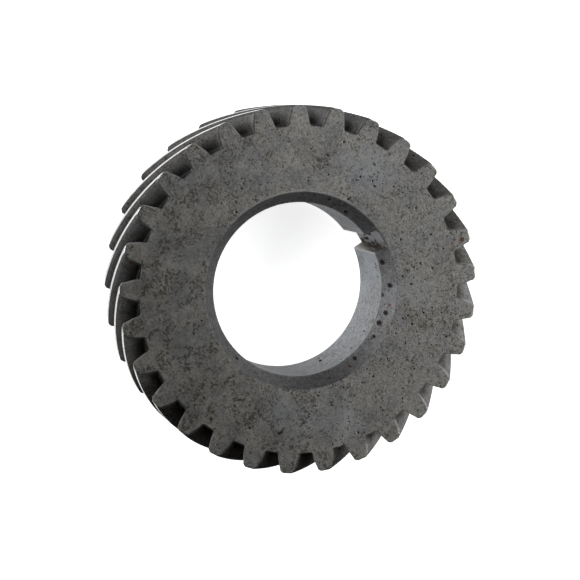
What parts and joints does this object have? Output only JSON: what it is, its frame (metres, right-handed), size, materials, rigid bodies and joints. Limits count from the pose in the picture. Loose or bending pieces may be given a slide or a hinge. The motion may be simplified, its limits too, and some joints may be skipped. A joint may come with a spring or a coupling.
{
  "type": "helical gear",
  "caption": "Flat steel helical gear with left-hand teeth, a plain keyed bore and a wide chamfer at the bore's front mouth.",
  "frame": {"origin": "on the bore's axis, at half the face width", "axes": "+Z along the bore's axis, towards the front face with the wide bore chamfer; +X through the middle of the keyway"},
  "size_m": [0.101, 0.101, 0.024],
  "materials": {
    "gear_steel": "aged machined steel, dull grey, with fine rust pits"
  },
  "bodies": {
    "root": {"helical_gear": "gear_steel"}
  },
  "joints": []
}
